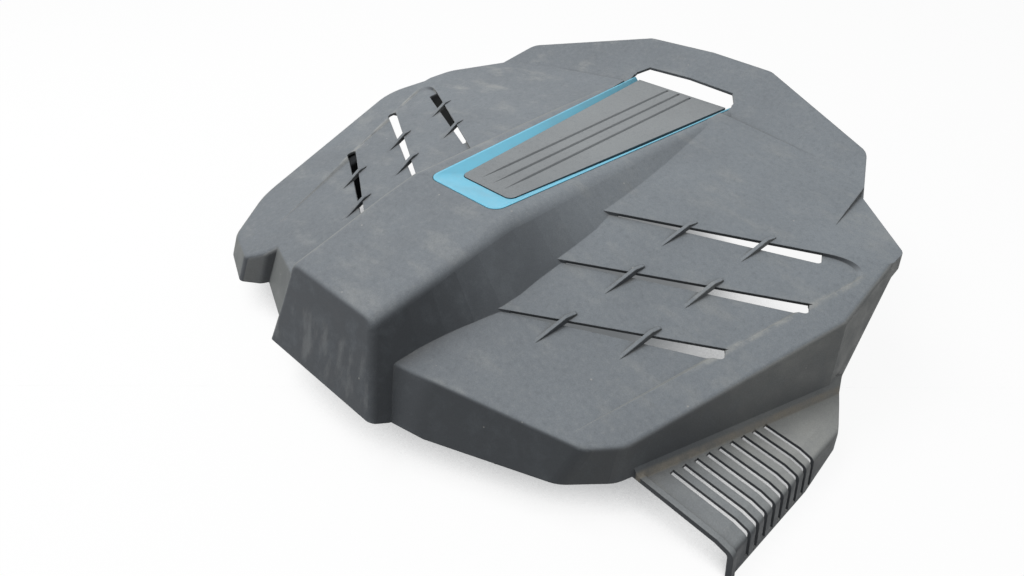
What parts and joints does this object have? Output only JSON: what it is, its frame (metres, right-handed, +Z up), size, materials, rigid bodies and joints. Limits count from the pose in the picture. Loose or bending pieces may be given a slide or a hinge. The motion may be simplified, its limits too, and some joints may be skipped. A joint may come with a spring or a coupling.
{
  "type": "engine cover",
  "caption": "Moulded engine cover with a raised centre spine, louvred wings, a framed centre panel, a slotted side flange and rubber stud grommets.",
  "frame": {"origin": "midway between the two front stud sockets, on the plane of their mouths", "axes": "+X to the right seen from the front of the car, +Y to the rear, +Z up"},
  "size_m": [0.6681, 0.5532, 0.1909],
  "materials": {
    "shell_plastic": "fine grain, faded and dusty",
    "trim_plastic": "satin blue",
    "insert_plastic": "fine grain",
    "grommet_rubber": "matt"
  },
  "bodies": {
    "root": {"cover_shell": "shell_plastic", "trim_bezel": "trim_plastic", "centre_insert": "insert_plastic", "grommet_front_left": "grommet_rubber", "grommet_front_right": "grommet_rubber", "grommet_rear_left": "grommet_rubber", "grommet_rear_right": "grommet_rubber"}
  },
  "joints": []
}
